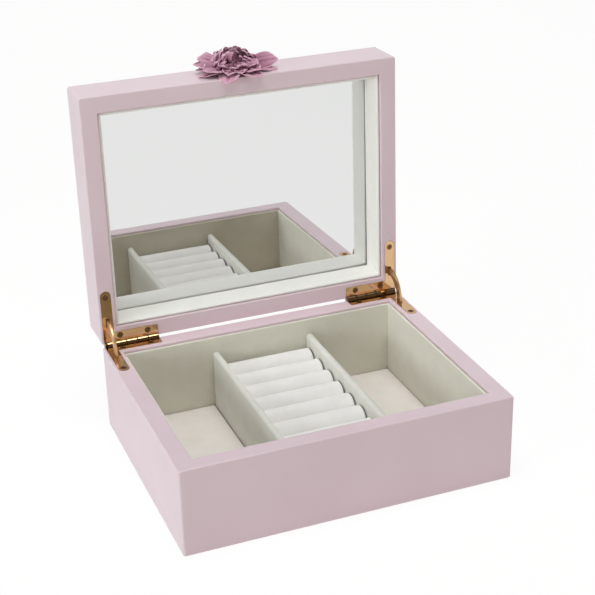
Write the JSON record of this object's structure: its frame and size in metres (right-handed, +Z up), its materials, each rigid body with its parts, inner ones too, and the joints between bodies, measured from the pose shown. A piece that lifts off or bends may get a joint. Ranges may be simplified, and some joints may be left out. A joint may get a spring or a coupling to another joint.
{
  "type": "vanity box with mirror",
  "caption": "Lacquered wooden vanity box, standing open: suede-lined trays, ring rolls, a mirror in the hinged lid, quadrant hinges and a flower grip.",
  "frame": {"origin": "centre of the underside of the base, on the surface that the box stands on", "axes": "+Z up, +X to the right seen from the front, +Y from the front towards the hinges; the lid is fully open"},
  "size_m": [0.23, 0.2314, 0.2574],
  "materials": {
    "pink_lacquer": "satin pink lacquer over wood",
    "lining_suede": "short cream suede pile on card",
    "roll_suede": "short off-white suede pile over foam",
    "polished_brass": "polished, rose-coloured",
    "mirror_glass": "silvered glass",
    "backing_card": "plain card",
    "petal_suede": "soft matt suede leather"
  },
  "bodies": {
    "base": {"base_front_wall": "pink_lacquer", "base_back_wall": "pink_lacquer", "base_left_wall": "pink_lacquer", "base_right_wall": "pink_lacquer", "base_bottom_board": "pink_lacquer", "base_lining_front": "lining_suede", "base_lining_back": "lining_suede", "base_lining_left": "lining_suede", "base_lining_right": "lining_suede", "floor_pad_left": "lining_suede", "floor_pad_right": "lining_suede", "divider_left": "lining_suede", "divider_right": "lining_suede", "ring_roll_block": "lining_suede", "ring_roll_1": "roll_suede", "ring_roll_2": "roll_suede", "ring_roll_3": "roll_suede", "ring_roll_4": "roll_suede", "ring_roll_5": "roll_suede", "ring_roll_6": "roll_suede", "ring_roll_7": "roll_suede", "ring_roll_8": "roll_suede", "hinge_leaf_base_left": "polished_brass", "hinge_leaf_base_right": "polished_brass", "hinge_pin_left": "polished_brass", "hinge_pin_right": "polished_brass", "base_hinge_screws": "polished_brass"},
    "lid": {"lid_top_board": "pink_lacquer", "lid_front_wall": "pink_lacquer", "lid_back_wall": "pink_lacquer", "lid_left_wall": "pink_lacquer", "lid_right_wall": "pink_lacquer", "lid_lining_front": "lining_suede", "lid_lining_back": "lining_suede", "lid_lining_left": "lining_suede", "lid_lining_right": "lining_suede", "mirror_glass": "mirror_glass", "mirror_backing_card": "backing_card", "hinge_leaf_lid_left": "polished_brass", "hinge_leaf_lid_right": "polished_brass", "lid_hinge_screws": "polished_brass", "flower_backing_disc": "petal_suede", "flower_outer_petals": "petal_suede", "flower_middle_petals": "petal_suede", "flower_inner_curls": "petal_suede", "flower_centre_curls": "petal_suede"},
    "left_stay": {"stay_left": "polished_brass"},
    "right_stay": {"stay_right": "polished_brass"}
  },
  "joints": [
    {"name": "lid_hinge", "type": "hinge", "parent": "base", "child": "lid", "pos_m": [0, 0.091, 0.062], "axis": [1, 0, 0], "range_deg": [0, 91.5]},
    {"name": "left_stay_swing", "type": "hinge", "parent": "base", "child": "left_stay", "pos_m": [0, 0.091, 0.062], "axis": [1, 0, 0], "range_deg": [0, 45.75]},
    {"name": "right_stay_swing", "type": "hinge", "parent": "base", "child": "right_stay", "pos_m": [0, 0.091, 0.062], "axis": [1, 0, 0], "range_deg": [0, 45.75]}
  ],
  "couplings": [
    {"joint": "left_stay_swing", "follows": "lid_hinge", "ratio": 0.5},
    {"joint": "right_stay_swing", "follows": "lid_hinge", "ratio": 0.5}
  ]
}
